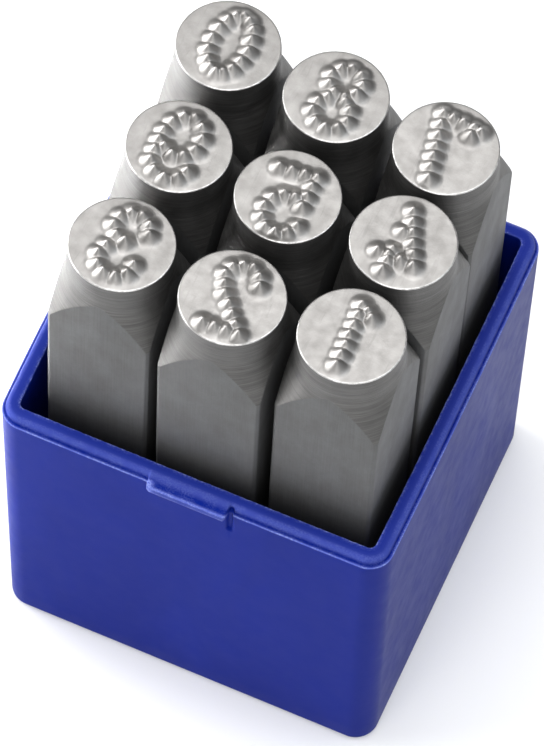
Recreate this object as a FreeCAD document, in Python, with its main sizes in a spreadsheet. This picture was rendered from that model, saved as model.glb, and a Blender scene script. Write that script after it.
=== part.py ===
"""A set of nine square-shank number punches standing three by three in an open moulded box.

Millimetres, +Z up. The origin is on the surface that the box stands on, under the middle of the
four walls, with +X to the right and the latch lug on the front wall at -Y.
The box is one moulding. Each punch is a piece of its own: a square bar with broken edges, a turned
neck and shoulder that end in a round marking face, and on that face one mirrored digit made of
separate raised dots.
"""

import FreeCAD
import Part

import math
import os

import Sketcher
from FreeCAD import Placement, Rotation, Vector

doc = FreeCAD.newDocument("number_punch_set")


# ---------------------------------------------------------------- driving dimensions
DIMENSIONS = [
    # storage box
    ("box_width", 49.6),          # X, over the walls
    ("box_depth", 49.6),          # Y, over the walls
    ("box_height", 49.2),         # underside to rim
    ("wall", 2.2),
    ("floor_thickness", 2.4),
    ("outer_corner", 3.0),        # radius of the four upright outer corners
    ("inner_corner", 0.8),
    ("base_round", 1.0),          # where the walls turn into the underside
    ("lip_height", 1.2),          # the stepped rim that a lid would sit over
    ("lip_inset", 0.4),
    ("rim_round", 0.4),
    ("lug_width", 10.5),          # latch lug on the front wall, just under the rim
    ("lug_height", 1.75),
    ("lug_depth", 0.75),
    ("lug_offset", 0.15),         # along X, from the middle of the wall
    ("lug_round", 0.3),
    ("rib_thickness", 0.9),       # low ribs on the floor that part the nine cells
    ("rib_height", 8.0),
    ("cell_pitch", 14.4),
    # punch
    ("shank", 12.7),              # across the flats
    ("punch_length", 76.2),       # striking end to marking face
    ("edge_break", 0.35),
    ("striking_chamfer", 1.2),
    ("face_radius", 6.15),        # round marking face
    ("neck_radius", 6.3),         # foot of the turned neck
    ("neck_length", 4.4),
    ("shoulder_radius", 9.2),     # where the shoulder's cone has run out past the bar's corners
    ("shoulder_height", 11.5),
    # raised dots
    ("dot_radius", 1.1),
    ("dot_tip", 0.18),
    ("dot_height", 1.15),
]

sheet = doc.addObject("Spreadsheet::Sheet", "sheet")
for line_number, (alias, value) in enumerate(DIMENSIONS, start=1):
    sheet.set(f"A{line_number}", alias)
    sheet.set(f"B{line_number}", str(value))
    sheet.setAlias(f"B{line_number}", alias)
doc.recompute()


def size(alias):
    """The sheet's value for a driving dimension."""
    return float(sheet.get(alias))


# ---------------------------------------------------------------- helpers
def origin_plane(body, role):
    """The body's own XY_Plane, XZ_Plane or YZ_Plane."""
    return next(feature for feature in body.Origin.OriginFeatures if feature.Role == role)


def block(body, kind, name, length, width, height, x=None, y=None, z="0"):
    """A box feature (kind is AdditiveBox or SubtractiveBox), centred on X and Y unless told otherwise."""
    feature = body.newObject(f"PartDesign::{kind}", name)
    feature.AttachmentSupport = [(origin_plane(body, "XY_Plane"), "")]
    feature.MapMode = "FlatFace"
    feature.setExpression("Length", length)
    feature.setExpression("Width", width)
    feature.setExpression("Height", height)
    feature.setExpression("AttachmentOffset.Base.x", x or f"-({length}) / 2")
    feature.setExpression("AttachmentOffset.Base.y", y or f"-({width}) / 2")
    feature.setExpression("AttachmentOffset.Base.z", z)
    doc.recompute()
    return feature


def edge_names(shape, wanted):
    """The names of the edges for which wanted(edge) is true."""
    return [f"Edge{i}" for i, edge in enumerate(shape.Edges, start=1) if wanted(edge)]


def soften(body, kind, name, base, wanted, amount):
    """A Fillet or Chamfer of the base feature's wanted edges; amount is an expression."""
    feature = body.newObject(f"PartDesign::{kind}", name)
    feature.Base = (base, edge_names(base.Shape, wanted))
    feature.setExpression("Radius" if kind == "Fillet" else "Size", amount)
    doc.recompute()
    return feature


def is_upright(edge):
    """True for a straight edge along Z."""
    box = edge.BoundBox
    return box.ZLength > 0.5 and box.XLength < 1e-6 and box.YLength < 1e-6


def lies_at(z):
    """A test for edges that lie wholly at height z."""
    return lambda edge: abs(edge.BoundBox.ZMin - z) < 1e-6 and abs(edge.BoundBox.ZMax - z) < 1e-6


def rounded_sketch(body, name, width, depth, radius, height="0"):
    """A rectangle with round corners, centred on the origin, at a height; all sizes are expressions."""
    sketch = body.newObject("Sketcher::SketchObject", name)
    sketch.AttachmentSupport = [(origin_plane(body, "XY_Plane"), "")]
    sketch.MapMode = "FlatFace"
    sketch.setExpression("AttachmentOffset.Base.z", height)
    w, d, r = (doc.sheet.evalExpression(text) for text in (width, depth, radius))
    straight = [
        ((r - w / 2, -d / 2), (w / 2 - r, -d / 2)),
        ((w / 2, r - d / 2), (w / 2, d / 2 - r)),
        ((w / 2 - r, d / 2), (r - w / 2, d / 2)),
        ((-w / 2, d / 2 - r), (-w / 2, r - d / 2)),
    ]
    centres = [(w / 2 - r, r - d / 2), (w / 2 - r, d / 2 - r), (r - w / 2, d / 2 - r), (r - w / 2, r - d / 2)]
    for side in range(4):
        start, end = straight[side]
        sketch.addGeometry(Part.LineSegment(Vector(*start, 0), Vector(*end, 0)), False)
        circle = Part.Circle(Vector(*centres[side], 0), Vector(0, 0, 1), r)
        first = math.radians(90 * side - 90)
        sketch.addGeometry(Part.ArcOfCircle(circle, first, first + math.pi / 2), False)
    for piece in range(8):
        sketch.addConstraint(Sketcher.Constraint("Tangent", piece, 2, (piece + 1) % 8, 1))
    for corner in (3, 5, 7):
        sketch.addConstraint(Sketcher.Constraint("Equal", 1, corner))
    sketch.addConstraint(Sketcher.Constraint("Symmetric", 0, 1, 0, 2, -2))
    sketch.addConstraint(Sketcher.Constraint("Symmetric", 2, 1, 2, 2, -1))
    sketch.addConstraint(Sketcher.Constraint("Horizontal", 4))
    sketch.addConstraint(Sketcher.Constraint("Vertical", 6))
    driving = [
        ("corner", Sketcher.Constraint("Radius", 1, r), radius),
        ("across", Sketcher.Constraint("DistanceX", 6, 1, 2, 1, w), width),
        ("along", Sketcher.Constraint("DistanceY", 0, 1, 4, 1, d), depth),
    ]
    for label, constraint, expression in driving:
        sketch.renameConstraint(sketch.addConstraint(constraint), label)
        sketch.setExpression(f"Constraints.{label}", expression)
    doc.recompute()
    return sketch


def extrude(body, kind, name, sketch, length):
    """A Pad above the sketch or a Pocket below it."""
    feature = body.newObject(f"PartDesign::{kind}", name)
    feature.Profile = (sketch, [""])
    feature.setExpression("Length", length)
    doc.recompute()
    return feature


def check_change(feature, before, grows):
    """Stops if a feature did not add or remove material as it should."""
    change = feature.Shape.Volume - before
    if (change > 0) != grows or abs(change) < 1e-3:
        raise RuntimeError(f"{feature.Label} changed the volume by {change:.4f} mm3")


# ---------------------------------------------------------------- storage box
def make_box():
    """The open box: walls, floor, stepped rim, latch lug and the low cell ribs."""
    body = doc.addObject("PartDesign::Body", "storage_box")
    body.Label = "storage_box"

    outside = rounded_sketch(body, "outside", "sheet.box_width", "sheet.box_depth", "sheet.outer_corner")
    walls = extrude(body, "Pad", "walls", outside, "sheet.box_height - sheet.lip_height")
    walls = soften(body, "Fillet", "base_edge", walls, lies_at(0.0), "sheet.base_round")

    volume = walls.Shape.Volume
    lip_outline = rounded_sketch(body, "lip_outline", "sheet.box_width - 2 * sheet.lip_inset",
                                 "sheet.box_depth - 2 * sheet.lip_inset",
                                 "sheet.outer_corner - sheet.lip_inset", "sheet.box_height - sheet.lip_height")
    lip = extrude(body, "Pad", "lip", lip_outline, "sheet.lip_height")
    check_change(lip, volume, grows=True)
    lip = soften(body, "Fillet", "rim_edge", lip, lies_at(size("box_height")), "sheet.rim_round")

    volume = lip.Shape.Volume
    lug = block(body, "AdditiveBox", "latch_lug", "sheet.lug_width", "sheet.lug_depth + sheet.wall / 2",
                "sheet.lug_height", x="sheet.lug_offset - sheet.lug_width / 2",
                y="-sheet.box_depth / 2 - sheet.lug_depth",
                z="sheet.box_height - sheet.rim_round - sheet.lug_height")
    check_change(lug, volume, grows=True)
    front = -size("box_depth") / 2 - size("lug_depth")
    lug = soften(body, "Fillet", "lug_edges", lug,
                 lambda edge: abs(edge.BoundBox.YMin - front) < 1e-6 and edge.BoundBox.YLength < 1e-6,
                 "sheet.lug_round")

    volume = lug.Shape.Volume
    inside = rounded_sketch(body, "inside", "sheet.box_width - 2 * sheet.wall",
                            "sheet.box_depth - 2 * sheet.wall", "sheet.inner_corner", "sheet.box_height")
    cavity = extrude(body, "Pocket", "cavity", inside, "sheet.box_height - sheet.floor_thickness")
    check_change(cavity, volume, grows=False)

    for side, name in ((-1, "low"), (1, "high")):
        volume = body.Shape.Volume
        across = f"{side} * sheet.cell_pitch / 2 - sheet.rib_thickness / 2"
        block(body, "AdditiveBox", f"rib_x_{name}", "sheet.rib_thickness", "sheet.box_depth - sheet.wall",
              "sheet.rib_height", x=across, z="sheet.floor_thickness")
        rib = block(body, "AdditiveBox", f"rib_y_{name}", "sheet.box_width - sheet.wall",
                    "sheet.rib_thickness", "sheet.rib_height", y=across, z="sheet.floor_thickness")
        check_change(rib, volume, grows=True)
    body.Placement = Placement(Vector(0, 0, 0), Rotation())
    return body


# ---------------------------------------------------------------- digits
def line(start, end, count):
    """count dots, evenly spaced from start to end."""
    return [(start[0] + (end[0] - start[0]) * i / (count - 1),
             start[1] + (end[1] - start[1]) * i / (count - 1)) for i in range(count)]


def arc(centre, radius_x, radius_y, first, last, count):
    """count dots along an elliptical arc, from angle first to angle last in degrees."""
    turn = (last - first) / (count - 1)
    angles = [math.radians(first + turn * i) for i in range(count)]
    return [(centre[0] + radius_x * math.cos(a), centre[1] + radius_y * math.sin(a)) for a in angles]


# Each digit as it stands on the marking face, mirrored, in millimetres from the face's middle.
DIGITS = {
    "0": arc((0.15, 0.2), 2.2, 4.1, 90, 427.5, 16),
    "1": line((-0.05, -4.0), (-0.45, 4.15), 7) + line((0.35, 3.65), (1.15, 3.0), 2),
    "2": (arc((0.1, 2.4), 2.05, 2.05, 2, 212, 7) + line((-0.95, 0.2), (1.7, -3.0), 4)
          + line((2.5, -3.95), (-1.75, -4.1), 4)),
    "3": arc((0.2, 2.45), 2.05, 1.95, 0, 268, 8) + arc((0.2, -2.0), 2.15, 2.15, 144, 366, 7),
    "4": (line((-0.6, 4.15), (2.05, -2.3), 6) + line((0.5, -2.3), (-2.25, -2.15), 3)
          + [(-0.62, 1.25)] + line((-0.72, -1.35), (-0.75, -4.3), 3)),
    "5": (line((-2.4, 3.15), (2.0, 3.65), 4) + line((1.95, 2.4), (2.0, -0.6), 3)
          + arc((0.3, -2.25), 2.3, 2.6, 78, 342, 9)),
    "7": (line((-0.35, -4.3), (-2.05, 4.15), 7) + line((-0.8, 4.1), (1.75, 3.85), 3)
          + line((2.75, 3.6), (1.9, 2.65), 2)),
    "8": arc((0.25, 2.25), 1.95, 1.95, 131, 451, 9) + arc((0.3, -2.1), 2.15, 2.15, 66, -238, 9),
    "9": (arc((-0.1, 1.45), 2.15, 2.75, 152, -129, 9) + line((-2.38, 1.3), (-2.4, -1.5), 3)
          + arc((0.0, -2.2), 2.3, 2.15, 200, 350, 5)),
}

# Which digit stands in each cell, column and row from the middle, and how far its marking face
# leans to the right (+X) and to the back (+Y): the cells are a loose fit.
PUNCHES = [
    ("3", -1, -1, 0.95, 1.30),
    ("2", 0, -1, 0.60, 0.25),
    ("1", 1, -1, 0.25, 1.25),
    ("9", -1, 0, 1.50, 1.20),
    ("5", 0, 0, 1.00, 0.35),
    ("4", 1, 0, 0.80, 0.30),
    ("0", -1, 1, 1.10, 1.45),
    ("8", 0, 1, 0.70, 0.30),
    ("7", 1, 1, 0.40, -0.80),
]


# ---------------------------------------------------------------- punch
# The outline, radius and height, of what the lathe takes off the end of the bar.
TURNED_OUTLINE = [
    ("sheet.face_radius", "sheet.punch_length"),
    ("sheet.neck_radius", "sheet.punch_length - sheet.neck_length"),
    ("sheet.shoulder_radius", "sheet.punch_length - sheet.shoulder_height"),
    ("sheet.shoulder_radius + 2", "sheet.punch_length - sheet.shoulder_height"),
    ("sheet.shoulder_radius + 2", "sheet.punch_length + 2"),
    ("sheet.face_radius", "sheet.punch_length + 2"),
]


def outline_sketch(body, name, outline):
    """A closed polygon in the XZ plane whose corners follow pairs of expressions."""
    sketch = body.newObject("Sketcher::SketchObject", name)
    sketch.AttachmentSupport = [(origin_plane(body, "XZ_Plane"), "")]
    sketch.MapMode = "FlatFace"
    corners = [tuple(doc.sheet.evalExpression(text) for text in pair) for pair in outline]
    count = len(corners)
    for i in range(count):
        start = Vector(*corners[i], 0)
        end = Vector(*corners[(i + 1) % count], 0)
        sketch.addGeometry(Part.LineSegment(start, end), False)
    for i in range(count):
        sketch.addConstraint(Sketcher.Constraint("Coincident", i, 2, (i + 1) % count, 1))
    for i, pair in enumerate(outline):
        for kind, value, expression in zip(("DistanceX", "DistanceY"), corners[i], pair):
            index = sketch.addConstraint(Sketcher.Constraint(kind, -1, 1, i, 1, value))
            sketch.renameConstraint(index, f"{kind}_{i}")
            sketch.setExpression(f"Constraints.{kind}_{i}", expression)
    doc.recompute()
    return sketch


def make_blank():
    """The steel that all nine punches share: chamfered bar, broken edges, turned neck and shoulder."""
    body = doc.addObject("PartDesign::Body", "punch_blank")
    bar = block(body, "AdditiveBox", "bar", "sheet.shank", "sheet.shank", "sheet.punch_length")
    bar = soften(body, "Chamfer", "striking_end", bar, lies_at(0.0), "sheet.striking_chamfer")
    bar = soften(body, "Chamfer", "broken_edges", bar, is_upright, "sheet.edge_break")

    volume = bar.Shape.Volume
    outline = outline_sketch(body, "turned_outline", TURNED_OUTLINE)
    turned = body.newObject("PartDesign::Groove", "turned_shoulder")
    turned.Profile = (outline, [""])
    turned.ReferenceAxis = (outline, ["V_Axis"])
    turned.Angle = 360
    doc.recompute()
    check_change(turned, volume, grows=False)
    return body


def make_dot(digit, number, x, y):
    """One raised dot of a digit, a blunt cone standing on the marking face."""
    dot = doc.addObject("Part::Cone", f"dot_{digit}_{number}")
    dot.setExpression("Radius1", "sheet.dot_radius")
    dot.setExpression("Radius2", "sheet.dot_tip")
    dot.setExpression("Height", "sheet.dot_height")
    dot.Placement = Placement(Vector(x, y, 0), Rotation())
    dot.setExpression("Placement.Base.z", "sheet.punch_length")
    return dot


def standing(column, row, lean_x, lean_y):
    """The place of a punch that stands in its cell on the lowest edge of its striking end and leans."""
    length = size("punch_length")
    half_base = size("shank") / 2 - size("striking_chamfer")
    lifted = half_base * (abs(lean_x) + abs(lean_y)) / length
    foot = Vector(column * size("cell_pitch"), row * size("cell_pitch"), size("floor_thickness") + lifted)
    return Placement(foot, Rotation(Vector(0, 0, 1), Vector(lean_x, lean_y, length)))


def make_punch(blank, digit, column, row, lean_x, lean_y):
    """One punch: the shared blank with its digit, standing in the box's cell at column and row."""
    dots = [make_dot(digit, number, x, y) for number, (x, y) in enumerate(DIGITS[digit])]
    punch = doc.addObject("Part::MultiFuse", f"number_punch_{digit}")
    punch.Label = f"number_punch_{digit}"
    punch.Shapes = [blank] + dots
    doc.recompute()
    check_change(punch, blank.Shape.Volume, grows=True)
    punch.Placement = standing(column, row, lean_x, lean_y)
    return punch


# ---------------------------------------------------------------- build, check and write
blank = make_blank()
nodes = [make_box()] + [make_punch(blank, *entry) for entry in PUNCHES]
doc.recompute()

failed = [item.Label for item in doc.Objects if {"Invalid", "Error"} & set(item.State)]
if failed:
    raise RuntimeError(f"these objects did not build: {failed}")
for node in nodes:
    shape = node.Shape
    if shape.isNull() or not shape.isValid() or len(shape.Solids) != 1:
        raise RuntimeError(f"{node.Label} is not one valid solid")

os.makedirs("parts", exist_ok=True)
for node in nodes:
    node.Shape.exportStep(os.path.join("parts", f"{node.Label}.step"))
    print(f"{node.Label}: {node.Shape.Volume:.1f} mm3")
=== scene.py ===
"""The looks of a set of number punches: nine steel punches standing in a blue moulded box.

Shapes are worked out in millimetres and turned into metres when a mesh is made. Each punch is built
upright round its own axis and then takes the place and lean of its CAD node.
"""

import math

import bpy
import numpy as np
from mathutils import Matrix, Vector


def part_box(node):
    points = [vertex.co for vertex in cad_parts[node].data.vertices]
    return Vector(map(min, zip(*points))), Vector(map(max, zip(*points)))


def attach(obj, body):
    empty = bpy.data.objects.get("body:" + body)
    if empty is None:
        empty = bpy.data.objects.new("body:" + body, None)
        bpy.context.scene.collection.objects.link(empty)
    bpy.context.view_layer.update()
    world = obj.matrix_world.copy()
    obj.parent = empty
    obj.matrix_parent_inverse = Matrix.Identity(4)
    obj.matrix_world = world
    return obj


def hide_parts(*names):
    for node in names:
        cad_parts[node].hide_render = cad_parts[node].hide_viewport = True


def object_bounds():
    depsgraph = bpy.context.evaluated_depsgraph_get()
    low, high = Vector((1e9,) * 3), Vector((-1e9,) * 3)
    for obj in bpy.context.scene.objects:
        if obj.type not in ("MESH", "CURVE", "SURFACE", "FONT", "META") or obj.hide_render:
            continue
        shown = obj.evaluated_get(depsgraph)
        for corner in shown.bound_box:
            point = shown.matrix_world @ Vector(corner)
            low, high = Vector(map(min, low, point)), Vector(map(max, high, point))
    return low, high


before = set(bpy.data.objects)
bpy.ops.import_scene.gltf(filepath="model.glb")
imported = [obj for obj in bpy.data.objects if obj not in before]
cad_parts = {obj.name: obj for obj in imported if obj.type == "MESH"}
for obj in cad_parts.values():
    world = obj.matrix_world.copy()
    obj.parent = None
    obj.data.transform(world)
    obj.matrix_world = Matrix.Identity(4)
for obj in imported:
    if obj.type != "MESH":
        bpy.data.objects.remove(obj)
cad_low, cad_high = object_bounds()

MM = 0.001

# ---------------------------------------------------------------- sizes, in millimetres
SHANK = 12.7
LENGTH = 76.2
EDGE_BREAK = 0.35
STRIKING_CHAMFER = 1.2
FACE_RADIUS = 6.15
FACE_BEVEL = 0.14
NECK_SLOPE = 0.034        # how fast the neck's radius grows with depth below the face
SHOULDER_SLOPE = 0.441
SHOULDER_DEPTH = 4.92     # where the neck's line would meet the shoulder's
SHOULDER_BLEND = 0.49
CELLS = 120               # mesh cells across the marking face

DOT_HEIGHT = 1.35
DOT_RADIUS = 1.35
DOT_TIP = 0.07            # rounding of a dot's point
DOT_HOLLOW = 1.25         # how hollow a dot's flank is; 1 is straight
DOT_FOOT = 0.17           # how softly a dot's flank runs out into the face
DOT_JOIN = 0.06           # how softly neighbouring dots meet

box_low, box_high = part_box("storage_box")
HALF = (box_high.x - box_low.x) / MM / 2
RIM = box_high.z / MM
CORNER = 3.0
WALL = 2.2
FLOOR = 2.4
BASE_ROUND = 1.0
RIB_HEIGHT = 8.0
RIB_THICKNESS = 0.9
CELL_PITCH = 14.4
LUG_LEFT, LUG_RIGHT = -5.1, 5.3
GROOVE_X = 5.45           # the short upright groove at the lug's right-hand end
GROOVE_HALF = 0.36
GROOVE_DEPTH = 0.38
GROOVE_FOOT = 4.9         # how far below the rim the groove ends
WALL_BOW = (0.05, 0.10, 0.10, 0.45)     # how far each wall bows out; front, right, back and left
FLASH = 0.02              # raggedness of the rim's inner edge
RUB_MIDDLE, RUB_WIDTH = 0.4, 0.5        # the rubbed patch at the lug's left-hand end


# ---------------------------------------------------------------- meshes
def make_mesh(name, points, faces, parts=None, coats=(), extra=None, seed=0.0):
    """An object from points in millimetres; parts gives each face's material, extra more attributes."""
    mesh = bpy.data.meshes.new(name)
    mesh.from_pydata((np.asarray(points) * MM).tolist(), [], faces)
    mesh.polygons.foreach_set("use_smooth", [True] * len(mesh.polygons))
    for coat in coats:
        mesh.materials.append(coat)
    if parts is not None:
        mesh.polygons.foreach_set("material_index", np.asarray(parts, np.int32))
    grain = mesh.attributes.new("grain", "FLOAT_VECTOR", "POINT")
    grain.data.foreach_set("vector", (np.asarray(points) + seed).astype(np.float32).ravel())
    for label, values in (extra or {}).items():
        attribute = mesh.attributes.new(label, "FLOAT", "POINT")
        attribute.data.foreach_set("value", np.asarray(values, np.float32))
    mesh.update()
    piece = bpy.data.objects.new(name, mesh)
    bpy.context.scene.collection.objects.link(piece)
    return piece


def ring_faces(first, second, count):
    """Quads between two rings of count points, given the first index of the upper and the lower ring."""
    return [(first + i, second + i, second + (i + 1) % count, first + (i + 1) % count)
            for i in range(count)]


# ---------------------------------------------------------------- digits
def line(start, end, count):
    """count dots, evenly spaced from start to end."""
    return [(start[0] + (end[0] - start[0]) * i / (count - 1),
             start[1] + (end[1] - start[1]) * i / (count - 1)) for i in range(count)]


def arc(centre, radius_x, radius_y, first, last, count):
    """count dots along an elliptical arc, from angle first to angle last in degrees."""
    turn = (last - first) / (count - 1)
    angles = [math.radians(first + turn * i) for i in range(count)]
    return [(centre[0] + radius_x * math.cos(a), centre[1] + radius_y * math.sin(a)) for a in angles]


# Each digit's dots as they stand on the marking face, mirrored, from DIGIT_MIDDLE.
DIGIT_MIDDLE = (0.10, -0.25)
DIGITS = {
    "0": arc((0.15, 0.2), 2.2, 4.1, 90, 427.5, 16),
    "1": line((-0.05, -4.0), (-0.45, 4.15), 7) + line((0.35, 3.65), (1.15, 3.0), 2),
    "2": (arc((0.1, 2.4), 2.05, 2.05, 2, 212, 7) + line((-0.95, 0.2), (1.7, -3.0), 4)
          + line((2.5, -3.95), (-1.75, -4.1), 4)),
    "3": arc((0.2, 2.45), 2.05, 1.95, 0, 268, 8) + arc((0.2, -2.0), 2.15, 2.15, 144, 366, 7),
    "4": (line((-0.6, 4.15), (2.05, -2.3), 6) + line((0.5, -2.3), (-2.25, -2.15), 3)
          + [(-0.62, 1.25)] + line((-0.72, -1.35), (-0.75, -4.3), 3)),
    "5": (line((-2.4, 3.15), (2.0, 3.65), 4) + line((1.95, 2.4), (2.0, -0.6), 3)
          + arc((0.3, -2.25), 2.3, 2.6, 78, 342, 9)),
    "7": (line((-0.35, -4.3), (-2.05, 4.15), 7) + line((-0.8, 4.1), (1.75, 3.85), 3)
          + line((2.75, 3.6), (1.9, 2.65), 2)),
    "8": arc((0.25, 2.25), 1.95, 1.95, 131, 451, 9) + arc((0.3, -2.1), 2.15, 2.15, 66, -238, 9),
    "9": (arc((-0.1, 1.45), 2.15, 2.75, 152, -129, 9) + line((-2.38, 1.3), (-2.4, -1.5), 3)
          + arc((0.0, -2.2), 2.3, 2.15, 200, 350, 5)),
}


def relief(x, y, dots, chance):
    """The marking face's height at each point: pointed cones that run together and out into the face."""
    ridge = None
    for dot_x, dot_y in dots:
        shift_x, shift_y, taller, wider = chance.normal(0, (0.035, 0.035, 0.035, 0.03))
        away = np.hypot(x - DIGIT_MIDDLE[0] - dot_x - shift_x, y - DIGIT_MIDDLE[1] - dot_y - shift_y)
        reach = (np.sqrt(away ** 2 + DOT_TIP ** 2) - DOT_TIP) / (DOT_RADIUS * (1 + wider))
        slope = np.where(reach < 1, np.clip(1 - reach, 0, None) ** DOT_HOLLOW, 1 - reach)
        cone = DOT_HEIGHT * (1 + taller) * slope
        ridge = cone if ridge is None else (ridge + cone + np.hypot(ridge - cone, DOT_JOIN)) / 2
    return (ridge + np.hypot(ridge, DOT_FOOT)) / 2


# ---------------------------------------------------------------- punch
def turned_radius(depth):
    """Radius of the turned neck and shoulder at a depth below the marking face."""
    past = (depth - SHOULDER_DEPTH) / SHOULDER_BLEND
    bend = SHOULDER_BLEND * np.log1p(np.exp(past))
    return FACE_RADIUS + NECK_SLOPE * depth + (SHOULDER_SLOPE - NECK_SLOPE) * bend


def column_angles():
    """Angles of the mesh columns round the punch, with one on each edge of the broken corners."""
    angles = np.radians(np.arange(4 * CELLS) * 90.0 / CELLS - 45.0)
    half_break = math.atan2(SHANK / 2, SHANK / 2 - EDGE_BREAK) - math.pi / 4
    for quarter in range(4):
        for side in (-1, 1):
            wanted = math.radians(90 * quarter - 45) + side * half_break
            nearest = np.argmin(np.abs(np.angle(np.exp(1j * (angles - wanted)))))
            angles[nearest] = wanted
    return angles


def square_radius(angles, half, cut):
    """Radius at each angle of a square with its corners cut off."""
    across, along = np.abs(np.cos(angles)), np.abs(np.sin(angles))
    return np.minimum(half / np.maximum(across, along), (2 * half - cut) / (across + along))


def punch_side():
    """The rings of points down a punch's side, from the marking face's edge, and each ring's finish."""
    angles = column_angles()
    bar = square_radius(angles, SHANK / 2, EDGE_BREAK)
    depths = np.linspace(0, 13, 1301)
    meeting = np.interp(bar, turned_radius(depths), depths)
    rings = []
    for turn in (60, 30, 0):
        sine, cosine = math.sin(math.radians(turn)), math.cos(math.radians(turn))
        radius = FACE_RADIUS - FACE_BEVEL * (1 - cosine)
        rings.append((radius + 0 * bar, LENGTH - FACE_BEVEL * (1 - sine) + 0 * bar, 1))
    for share in [*np.linspace(0.04, 0.96, 20), 0.988]:
        depth = FACE_BEVEL + share * (meeting - FACE_BEVEL)
        rings.append((turned_radius(depth), LENGTH - depth, 2))
    rings.append((bar - 0.015, LENGTH - meeting, 2))
    rings.append((bar, LENGTH - meeting - 0.09, 3))
    for share in (0.25, 0.5, 0.75):
        top = LENGTH - meeting - 0.09
        rings.append((bar, top + share * (STRIKING_CHAMFER + 0.1 - top), 3))
    rings.append((bar, STRIKING_CHAMFER + 0.1 + 0 * bar, 3))
    end = square_radius(angles, SHANK / 2 - STRIKING_CHAMFER, 0.25)
    for share in (0.06, 0.5, 0.94):
        rings.append((bar + share * (end - bar), STRIKING_CHAMFER * (1 - share) + 0 * bar, 3))
    for share, height in ((0.985, 0.0), (0.7, 0.0), (0.35, 0.0)):
        rings.append((end * share, height + 0 * bar, 4))
    points = [np.stack([r * np.cos(angles), r * np.sin(angles), z], 1) for r, z, _ in rings]
    return points, [finish for _, _, finish in rings]


def face_grid():
    """A square grid bent into a disc: its points, its quads and the indices round its edge."""
    steps = np.linspace(-1, 1, CELLS + 1)
    a, b = np.meshgrid(steps, steps, indexing="ij")
    wide = np.abs(a) > np.abs(b)
    reach = np.where(wide, a, b)
    other = np.where(wide, b, a)
    ratio = np.divide(other, reach, out=np.zeros_like(a), where=reach != 0) * math.pi / 4
    turn = np.where(wide, ratio, math.pi / 2 - ratio)
    radius = (FACE_RADIUS - FACE_BEVEL) * reach
    side = CELLS + 1
    quads = [(i * side + j, (i + 1) * side + j, (i + 1) * side + j + 1, i * side + j + 1)
             for i in range(CELLS) for j in range(CELLS)]
    edge = ([CELLS * side + j for j in range(CELLS)] + [i * side + CELLS for i in range(CELLS, 0, -1)]
            + [j for j in range(CELLS, 0, -1)] + [i * side for i in range(CELLS)])
    return (radius * np.cos(turn)).ravel(), (radius * np.sin(turn)).ravel(), quads, edge


def make_punch(digit, side, disc, coats):
    """One punch, standing in its cell as its CAD node does."""
    rings, finishes = side
    x, y, quads, edge = disc
    chance = np.random.default_rng(100 + int(digit))
    height = relief(x, y, DIGITS[digit], chance)
    rim = FACE_RADIUS - FACE_BEVEL
    height *= np.clip((rim - np.hypot(x, y)) / 0.25, 0, 1)
    top = np.stack([x, y, LENGTH + height], 1)

    columns = 4 * CELLS
    faces = list(quads)
    parts = [0] * len(quads)
    start = len(top)
    for i in range(columns):
        after = (i + 1) % columns
        faces.append((edge[i], start + i, start + after, edge[after]))
    parts += [1] * columns
    for level in range(len(rings) - 1):
        faces += ring_faces(start + level * columns, start + (level + 1) * columns, columns)
        parts += [finishes[level + 1]] * columns
    last = start + (len(rings) - 1) * columns
    centre = last + columns
    faces += [(last + i, centre, last + (i + 1) % columns) for i in range(columns)]
    parts += [4] * columns
    points = np.concatenate([top, *rings, [[0, 0, 0]]])
    piece = make_mesh(f"punch_{digit}_steel", points, faces, parts, coats, seed=37.0 * (1 + int(digit)))

    piece.matrix_world = standing_place(f"number_punch_{digit}")
    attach(piece, f"punch_{digit}")
    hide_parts(f"number_punch_{digit}")
    return piece


def standing_place(node):
    """A punch's place and lean, from the four corners of its CAD node's striking face."""
    points = np.array([v.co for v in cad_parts[node].data.vertices])
    corners = points[points[:, 2] < points[:, 2].min() + STRIKING_CHAMFER / 2 * MM]
    corners = np.unique(corners.round(7), axis=0)
    foot = corners.mean(0)
    axis = Vector(np.linalg.svd(corners - foot)[2][2])
    axis *= math.copysign(1, axis.z)
    lean = Vector((0, 0, 1)).rotation_difference(axis)
    return Matrix.Translation(foot) @ lean.to_matrix().to_4x4()


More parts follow.
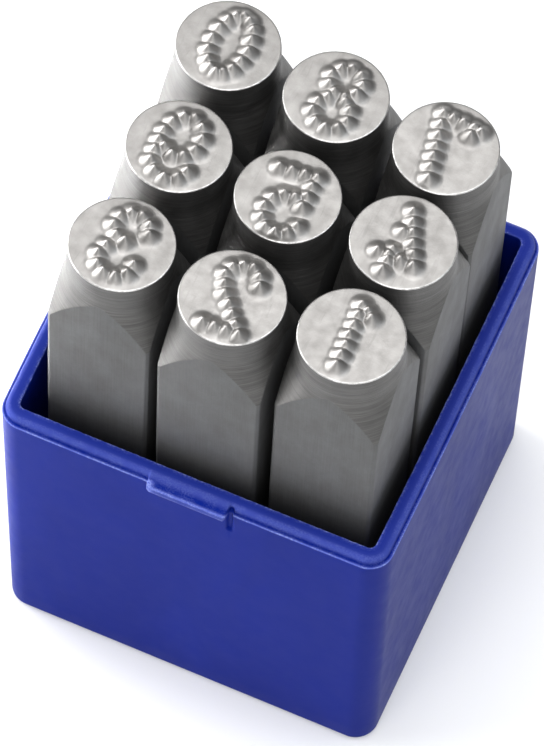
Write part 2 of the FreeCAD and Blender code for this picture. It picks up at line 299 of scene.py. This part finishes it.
# ---------------------------------------------------------------- box
# The wall's outline near the rim, as inset from the wall's outside, height under the rim, wear and
# paleness, which is painted highlight along the rim's rounded edges and step lines and the lug's edges.
# A second pair gives the same point where the latch lug stands out from the front wall.
RIM_OUTLINE = [
    ((0.00, -2.30), (0.00, -2.42), 0.0, 0.0),
    ((0.00, -2.20), (-0.02, -2.32), 0.0, 0.0),
    ((0.00, -2.10), (-0.10, -2.24), 0.0, 0.0),
    ((0.00, -2.00), (-0.40, -2.20), 0.1, 0.1),
    ((0.00, -1.90), (-0.64, -2.17), 0.5, 0.9),
    ((0.00, -1.80), (-0.73, -2.08), 0.7, 0.9),
    ((0.00, -1.70), (-0.75, -1.95), 0.4, 0.3),
    ((0.00, -1.60), (-0.75, -1.80), 0.2, 0.2),
    ((0.00, -1.50), (-0.74, -1.66), 0.1, 0.5),
    ((0.00, -1.42), (-0.74, -1.55), 0.2, 0.1),
    ((0.00, -1.32), (-0.73, -1.38), 0.3, 0.3),
    ((0.02, -1.24), (-0.70, -1.20), 0.7, 0.9),
    ((0.08, -1.19), (-0.65, -1.02), 0.7, 0.9),
    ((0.17, -1.18), (-0.57, -0.84), 0.2, 0.3),
    ((0.30, -1.19), (-0.46, -0.68), 0.1, 0.0),
    ((0.38, -1.15), (-0.32, -0.54), 0.1, 0.0),
    ((0.42, -1.00), (-0.16, -0.42), 0.1, 0.0),
    ((0.44, -0.78), (0.04, -0.31), 0.1, 0.15),
    ((0.48, -0.56), (0.26, -0.22), 0.1, 0.3),
    ((0.58, -0.35), (0.48, -0.14), 0.1, 0.4),
    ((0.74, -0.17), (0.72, -0.08), 0.1, 0.4),
    ((0.94, -0.05), (0.94, -0.03), 0.1, 0.3),
    ((1.18, 0.00), (1.18, 0.00), 0.0, 0.15),
    ((1.60, 0.00), (1.60, 0.00), 0.0, 0.1),
    ((1.92, 0.00), (1.92, 0.00), 0.1, 0.1),
    ((2.06, -0.01), (2.06, -0.01), 0.5, 0.2),
    ((2.15, -0.06), (2.15, -0.06), 0.8, 0.4),
    ((2.19, -0.16), (2.19, -0.16), 0.3, 0.1),
    ((2.20, -0.35), (2.20, -0.35), 0.0, 0.0),
]
INNER_EDGE = 2.0          # inset past which the rim's inner edge has its ragged flash


def box_outline():
    """The whole outline from the middle of the underside, up the wall, over the rim and to the floor."""
    below = [(HALF - 4, 0.0), (8.0, 0.0), (3.0, 0.0)]
    for turn in np.radians(np.linspace(0, 90, 7)):
        below.append((BASE_ROUND * (1 - math.sin(turn)), BASE_ROUND * (1 - math.cos(turn))))
    below += [(0.0, z) for z in np.linspace(BASE_ROUND, RIM - 5.5, 16)[1:-1]]
    below += [(0.0, z) for z in np.arange(RIM - 5.5, RIM - 2.38, 0.13)]
    outline = [(pair, pair, 0.0, 0.0) for pair in below]
    outline += [((a, RIM + b), (c, RIM + d), wear, pale) for (a, b), (c, d), wear, pale in RIM_OUTLINE]
    inside = [(WALL, z) for z in np.linspace(RIM - 1.0, FLOOR + 1.2, 12)]
    inside += [(WALL + 0.15, FLOOR + 0.5), (WALL + 0.45, FLOOR + 0.12), (WALL + 1.0, FLOOR)]
    inside += [(8.0, FLOOR), (HALF - 4, FLOOR)]
    return outline + [(pair, pair, 0.0, 0.0) for pair in inside]


def wall_stations():
    """Where the mesh columns stand along a wall, closer together at the ends of the latch lug."""
    straight = HALF - CORNER
    coarse = np.linspace(-straight, straight, 150)
    fine = np.concatenate([np.arange(LUG_LEFT - 0.4, LUG_LEFT + 0.9, 0.05),
                           np.arange(LUG_RIGHT - 0.8, GROOVE_X + 0.6, 0.05)])
    apart = np.abs(coarse[:, None] - fine[None, :]).min(1) > 0.1
    return np.sort(np.concatenate([coarse[apart], fine]))


def step_up(value, start, width):
    """A smooth step from 0 to 1 that begins at start."""
    share = np.clip((value - start) / width, 0, 1)
    return share * share * (3 - 2 * share)


def make_box(coat):
    """The moulded box: one outline swept round the four walls, with the lug, groove and bowed wall."""
    stations = wall_stations()
    corner_turns = np.radians(np.linspace(0, 90, 19)[1:-1])
    columns = []
    for wall in range(4):
        columns += [(wall, along, 0.0) for along in stations]
        columns += [(wall, HALF - CORNER, turn) for turn in corner_turns]
    wall, along, turn = np.array(columns).T
    wall = wall.astype(int)
    straight = turn == 0
    front = (wall == 0) & straight
    flash = np.random.default_rng(7).normal(0, FLASH, len(columns))
    cosine, sine = np.array([1, 0, -1, 0])[wall], np.array([0, 1, 0, -1])[wall]
    bowed = np.where(straight, np.array(WALL_BOW)[wall], 0.0)
    bowed = bowed * np.clip(1 - (along / (HALF - 3)) ** 2, 0, 1)

    points, worn, rub_and_highlight = [], [], []
    for (inset, height), (lug_inset, lug_height), wear, pale in box_outline():
        rounding = np.clip((RIM - 1.6 - lug_height) / 0.7, 0, 1) * 0.4
        from_left = step_up(along, LUG_LEFT + rounding, 0.3)
        lug = from_left * step_up(-along, -LUG_RIGHT + rounding, 0.2) * front
        depth = inset + (lug_inset - inset) * lug
        z = height + (lug_height - height) * lug
        from_groove = np.hypot(along - GROOVE_X, np.clip(RIM - GROOVE_FOOT - z, 0, None))
        groove = np.exp(-(from_groove / GROOVE_HALF) ** 4) * front * step_up(-z, 0.2 - RIM, 0.5)
        depth = depth + GROOVE_DEPTH * groove - bowed * (z / RIM) ** 2
        if INNER_EDGE < inset < WALL:
            depth = depth + flash
        corner = max(CORNER - inset, 0.3)
        reach = (HALF - inset - corner) / (HALF - CORNER)
        local_x = np.where(straight, along * reach, HALF - inset - corner + corner * np.sin(turn))
        local_y = np.where(straight, depth - HALF, -(HALF - inset - corner) - corner * np.cos(turn))
        x, y = local_x * cosine - local_y * sine, local_x * sine + local_y * cosine
        points.append(np.stack([x, y, z + 0 * x], 1))
        on_rim = 1.0 if height > RIM - 1.4 else 0.0
        on_lug_face = -2.2 < lug_height - RIM < -0.4
        rubbed = 1.2 * lug * np.exp(-((along - LUG_LEFT - RUB_MIDDLE) / RUB_WIDTH) ** 2) * on_lug_face
        worn.append(np.clip(wear * np.maximum(lug, on_rim) * (1 - groove) + rubbed, 0, 1))
        # the paler tone: painted highlight along the rim's rounded edges, step lines and lug edges, plus
        # the real rubbed patch at the lug's left end
        rub_and_highlight.append(np.clip(pale * np.maximum(lug, on_rim) * (1 - groove) + rubbed, 0, 1))

    count = len(columns)
    faces = []
    for level in range(len(points) - 1):
        faces += ring_faces((level + 1) * count, level * count, count)
    middle = len(points) * count
    faces += [(i, (i + 1) % count, middle)[::-1] for i in range(count)]
    last = (len(points) - 1) * count
    faces += [(last + i, last + (i + 1) % count, middle + 1) for i in range(count)]
    cloud = np.concatenate([*points, [[0, 0, 0], [0, 0, FLOOR]]])
    extra = {"wear": np.concatenate([*worn, [0, 0]]), "pale": np.concatenate([*rub_and_highlight, [0, 0]])}
    piece = make_mesh("storage_box_moulding", cloud, faces, None, [coat], extra)
    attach(piece, "storage_box")
    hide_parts("storage_box")
    return piece


def rib_section():
    """Half the outline of a floor rib, drafted and round on top: distance from its middle, and height."""
    foot, crown = RIB_THICKNESS / 2 + 0.1, RIB_THICKNESS / 2 - 0.1
    outline = [(foot + 0.35, -0.3), (foot + 0.3, 0.0), (foot + 0.08, 0.15), (foot, 0.5)]
    outline.append((crown, RIB_HEIGHT - 0.35))
    for turn in np.radians((30, 60)):
        outline.append((crown * math.cos(turn), RIB_HEIGHT - 0.35 * (1 - math.sin(turn))))
    return outline + [(0.0, RIB_HEIGHT)]


def make_rib(name, across, along_x, coat):
    """A low rib on the floor from wall to wall, at distance across from the middle."""
    half = rib_section()
    section = half + [(-d, z) for d, z in half[-2::-1]]
    reach = HALF - WALL + 0.4
    stations = np.linspace(-reach, reach, 61)
    points = []
    for along in stations:
        for d, z in section:
            place = (along, -(across + d)) if along_x else (across + d, along)
            points.append((*place, FLOOR + z))
    count = len(section)
    faces = []
    for i in range(len(stations) - 1):
        for j in range(count):
            a, b = i * count + j, i * count + (j + 1) % count
            faces.append((a, a + count, b + count, b))
    faces.append(tuple(range(count)))
    faces.append(tuple(range((len(stations) - 1) * count, len(stations) * count))[::-1])
    unworn = np.zeros(len(points))
    piece = make_mesh(name, points, faces, None, [coat], {"wear": unworn, "pale": unworn})
    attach(piece, "storage_box")
    return piece


# ---------------------------------------------------------------- materials
class Look:
    """A material in the making. Patterns are laid out in millimetres on the mesh's grain attribute."""

    def __init__(self, name, **values):
        self.material = bpy.data.materials.new(name)
        self.material.use_nodes = True
        self.tree = self.material.node_tree
        self.shader = self.tree.nodes["Principled BSDF"]
        self.grain = self.add("Attribute", attribute_name="grain").outputs["Vector"]
        for socket, value in values.items():
            self.shader.inputs[socket.replace("_", " ")].default_value = value

    def add(self, kind, inputs=None, **settings):
        """A node with its settings, and its inputs set or linked by name or number."""
        node = self.tree.nodes.new("ShaderNode" + kind)
        for key, value in settings.items():
            setattr(node, key, value)
        for key, value in (inputs or {}).items():
            if isinstance(value, bpy.types.NodeSocket):
                self.tree.links.new(value, node.inputs[key])
            else:
                node.inputs[key].default_value = value
        return node

    def noise(self, size, stretch=(1, 1, 1), detail=3.0, rough=0.55, twist=0.0):
        """Noise with features of about size millimetres, stretched along each axis."""
        scale = tuple(1 / (size * s) for s in stretch)
        place = self.add("Mapping", {"Vector": self.grain, "Scale": scale}).outputs["Vector"]
        values = {"Vector": place, "Scale": 1.0, "Detail": detail, "Roughness": rough, "Distortion": twist}
        return self.add("TexNoise", values).outputs[0]

    def spread(self, value, low, high, bottom=0.0, top=1.0):
        """Stretches the stretch of value from low to high over bottom to top, held within them."""
        values = {"Value": value, "From Min": low, "From Max": high, "To Min": bottom, "To Max": top}
        return self.add("MapRange", values, clamp=True).outputs["Result"]

    def maths(self, operation, first, second):
        """One sum on two values."""
        return self.add("Math", {0: first, 1: second}, operation=operation).outputs[0]

    def blend(self, share, first, second):
        """A colour between first and second."""
        node = self.add("Mix", data_type="RGBA")
        for key, value in ((0, share), (6, first), (7, second)):
            if isinstance(value, bpy.types.NodeSocket):
                self.tree.links.new(value, node.inputs[key])
            else:
                node.inputs[key].default_value = value
        return node.outputs[2]

    def bump(self, height, distance, below=None):
        """A bump of distance millimetres, on top of another one."""
        values = {"Height": height, "Distance": distance * MM, "Strength": 1.0}
        if below is not None:
            values["Normal"] = below
        return self.add("Bump", values).outputs["Normal"]

    def finish(self, colour, roughness, normal):
        """Joins the patterns to the shader."""
        for socket, value in (("Base Color", colour), ("Roughness", roughness), ("Normal", normal)):
            self.tree.links.new(value, self.shader.inputs[socket])
        return self.material


def grey(value, warmth=0.0):
    """A grey as a colour, warmer or cooler."""
    return (value * (1 + warmth), value, value * (1 - warmth), 1.0)


def face_steel():
    """The marking face and its dots: fine matt steel with faint blotches and stray scratches."""
    look = Look("marking_face_steel", Metallic=1.0)
    blotch = look.noise(1.6, detail=5.0)
    speck = look.noise(0.22, detail=2.0)
    scratch = look.spread(look.noise(0.5, (1, 9, 1), 2.0, twist=0.8), 0.60, 0.72)
    tone = look.blend(look.spread(blotch, 0.3, 0.7), grey(0.325, 0.035), grey(0.395, 0.03))
    tone = look.blend(look.maths("MULTIPLY", scratch, 0.3), tone, grey(0.25, 0.03))
    rough = look.spread(blotch, 0.3, 0.7, 0.56, 0.46)
    normal = look.bump(blotch, 0.02, look.bump(speck, 0.012))
    return look.finish(tone, rough, normal)


def edge_steel():
    """The narrow bevel round the marking face, bright from the lathe tool."""
    look = Look("bevel_steel", Metallic=1.0)
    nick = look.noise(0.5, detail=3.0)
    tone = look.blend(look.spread(nick, 0.35, 0.6), grey(0.40, 0.02), grey(0.62, 0.02))
    rough = look.spread(nick, 0.3, 0.7, 0.42, 0.28)
    return look.finish(tone, rough, look.bump(nick, 0.015))


def turned_steel():
    """The neck and shoulder: fine lathe marks running round, which spread the light up and down."""
    look = Look("turned_steel", Metallic=1.0)
    marks = look.noise(0.12, (50, 50, 1), 3.0, 0.65)
    broad = look.noise(0.55, (16, 16, 1), 3.0)
    blotch = look.noise(2.2, detail=4.0)
    tone = look.blend(look.spread(marks, 0.3, 0.7), grey(0.11, 0.02), grey(0.18, 0.02))
    tone = look.blend(look.spread(broad, 0.4, 0.75, 0.0, 0.5), tone, grey(0.09, 0.02))
    rough = look.spread(blotch, 0.3, 0.7, 0.52, 0.62)
    normal = look.bump(marks, 0.035, look.bump(broad, 0.05))
    return look.finish(tone, rough, normal)


def ground_steel():
    """The bar's flats: dull ground steel with a faint grain along the bar and cloudy stains."""
    look = Look("ground_flat_steel", Metallic=0.35)
    grain = look.noise(0.12, (1, 1, 60), 3.0, 0.6)
    cloud = look.noise(3.0, (1, 1, 1.6), 5.0, 0.6)
    speck = look.noise(0.35, detail=3.0, rough=0.7)
    tone = look.blend(look.spread(cloud, 0.3, 0.7), grey(0.076, 0.02), grey(0.100, -0.02))
    tone = look.blend(look.spread(speck, 0.45, 0.75, 0.0, 0.5), tone, grey(0.070, -0.02))
    tone = look.blend(look.spread(grain, 0.4, 0.8, 0.0, 0.3), tone, grey(0.15, -0.02))
    rough = look.spread(cloud, 0.3, 0.7, 0.60, 0.50)
    normal = look.bump(speck, 0.012, look.bump(grain, 0.008))
    return look.finish(tone, rough, normal)


def struck_steel():
    """The striking end: sawn across, with small hammer bruises."""
    look = Look("striking_end_steel", Metallic=1.0)
    saw = look.noise(0.2, (60, 1, 1), 3.0)
    bruise = look.noise(1.1, detail=2.0)
    tone = look.blend(look.spread(saw, 0.3, 0.7), grey(0.42, 0.01), grey(0.58, 0.01))
    tone = look.blend(look.spread(bruise, 0.55, 0.7), tone, grey(0.66, 0.0))
    rough = look.spread(bruise, 0.4, 0.7, 0.52, 0.36)
    normal = look.bump(bruise, 0.05, look.bump(saw, 0.015))
    return look.finish(tone, rough, normal)


def box_plastic():
    """Satin blue plastic with faint flow marks, a painted highlight along its edges and fine specks of
    wear.
    """
    look = Look("blue_moulded_plastic", IOR=1.5)
    look.shader.inputs["Specular IOR Level"].default_value = 0.03
    flow = look.noise(14.0, (1, 1, 2.5), 3.0, 0.5, 0.4)
    skin = look.noise(0.25, detail=3.0)
    haze = look.noise(2.4, detail=5.0, rough=0.6)
    rub = look.maths("MULTIPLY", look.spread(look.noise(0.16, detail=3.0, rough=0.6), 0.46, 0.58),
                     look.spread(look.noise(1.5, detail=3.0), 0.36, 0.56))
    wear = look.add("Attribute", attribute_name="wear").outputs["Fac"]
    pale = look.add("Attribute", attribute_name="pale").outputs["Fac"]
    tone = look.blend(look.spread(flow, 0.3, 0.7), (0.002, 0.011, 0.175, 1), (0.003, 0.014, 0.205, 1))
    # pale: painted highlight along the rim's rounded edges, step lines and the lug's edges, plus the
    # rubbed patch at the lug's left end
    tone = look.blend(look.maths("MULTIPLY", pale, 0.6), tone, (0.16, 0.21, 0.72, 1))
    scuff = look.maths("MULTIPLY", rub, wear)
    tone = look.blend(look.maths("MULTIPLY", scuff, 0.85), tone, (0.34, 0.41, 0.75, 1))
    rough = look.maths("ADD", look.spread(haze, 0.3, 0.7, 0.34, 0.42), look.maths("MULTIPLY", scuff, 0.25))
    normal = look.bump(skin, 0.003, look.bump(flow, 0.25))
    return look.finish(tone, rough, normal)


# ---------------------------------------------------------------- stage
TARGET = Vector((0.79, -1.71, 40.0)) * MM     # where the camera looks
CAMERA_AZIMUTH = 21.63
CAMERA_ELEVATION = 61.62
CAMERA_ROLL = 2.48
CAMERA_DISTANCE = 596.6 * MM
CAMERA_LENS = 241.0
LIGHT_DISTANCE = 0.8
LEFT_FLOOR = Vector((-0.20, 0.02, 0.0))       # the middle of the lit patch of floor on the left
FLOOR_REACH = 3.0


def direction(azimuth, elevation):
    """From the object towards something at that azimuth and elevation; azimuth 0 is in front, at -Y."""
    a, e = math.radians(azimuth), math.radians(elevation)
    return Vector((math.sin(a) * math.cos(e), -math.cos(a) * math.cos(e), math.sin(e)))


def make_camera():
    """The camera, looking down on the set from the front and a little from the right."""
    camera = bpy.data.objects.new("camera", bpy.data.cameras.new("camera"))
    bpy.context.scene.collection.objects.link(camera)
    back = direction(CAMERA_AZIMUTH, CAMERA_ELEVATION)
    level = (-back).to_track_quat("-Z", "Y").to_matrix().to_4x4()
    roll = Matrix.Rotation(math.radians(CAMERA_ROLL), 4, "Z")
    camera.matrix_world = Matrix.Translation(TARGET + back * CAMERA_DISTANCE) @ level @ roll
    camera.data.lens = CAMERA_LENS
    bpy.context.scene.camera = camera


def make_light(name, azimuth, elevation, distance, size, power,
               colour=(1, 1, 1), aim=TARGET, spread=180):
    """A square soft light, in metres and watts, that faces the object or another aim."""
    light = bpy.data.lights.new(name, "AREA")
    light.size = size
    light.energy = power
    light.color = colour
    light.spread = math.radians(spread)
    lamp = bpy.data.objects.new(name, light)
    bpy.context.scene.collection.objects.link(lamp)
    towards = direction(azimuth, elevation)
    turned = (-towards).to_track_quat("-Z", "Y").to_matrix().to_4x4()
    lamp.matrix_world = Matrix.Translation(aim + towards * distance) @ turned


def make_floor():
    """A plain pale floor just under the box."""
    look = bpy.data.materials.new("pale_floor")
    look.use_nodes = True
    shader = look.node_tree.nodes["Principled BSDF"]
    shader.inputs["Base Color"].default_value = (0.95, 0.95, 0.95, 1)
    shader.inputs["Roughness"].default_value = 0.9
    mesh = bpy.data.meshes.new("floor")
    signs = ((-1, -1), (1, -1), (1, 1), (-1, 1))
    corners = [(x * FLOOR_REACH, y * FLOOR_REACH, 0) for x, y in signs]
    mesh.from_pydata(corners, [], [(0, 1, 2, 3)])
    mesh.materials.append(look)
    floor = bpy.data.objects.new("floor", mesh)
    floor.location.z = cad_low.z - 0.02 * MM
    bpy.context.scene.collection.objects.link(floor)


def light_studio():
    """A faint even surround and soft lights, one of them only on the floor at the left."""
    world = bpy.data.worlds.new("studio")
    bpy.context.scene.world = world
    world.use_nodes = True
    background = world.node_tree.nodes["Background"]
    background.inputs["Color"].default_value = (1.0, 1.0, 1.0, 1)
    background.inputs["Strength"].default_value = 0.03
    make_light("low_left", -65, 8, LIGHT_DISTANCE, 0.3, 3.7)
    make_light("left", -95, 15, LIGHT_DISTANCE, 0.35, 6.6)
    make_light("top_back", -158, 78, LIGHT_DISTANCE, 0.5, 4.2)
    make_light("right", 100, 50, LIGHT_DISTANCE, 0.5, 1.9, (0.90, 0.95, 1.0))
    make_light("front_top", 5, 60, LIGHT_DISTANCE, 0.5, 2.9)
    make_light("front", 35, 24, LIGHT_DISTANCE, 0.6, 1.6)
    make_light("left_floor", -90, 89, 0.45, 0.15, 3.0, aim=LEFT_FLOOR, spread=28)
    bpy.context.scene.view_settings.view_transform = "Standard"


# ---------------------------------------------------------------- put together
steels = [face_steel(), edge_steel(), turned_steel(), ground_steel(), struck_steel()]
plastic = box_plastic()
side, disc = punch_side(), face_grid()
for digit in DIGITS:
    make_punch(digit, side, disc, steels)
make_box(plastic)
for sign, label in ((-1, "low"), (1, "high")):
    make_rib(f"cell_rib_x_{label}", sign * CELL_PITCH / 2, False, plastic)
    make_rib(f"cell_rib_y_{label}", sign * CELL_PITCH / 2, True, plastic)

make_floor()
light_studio()
make_camera()
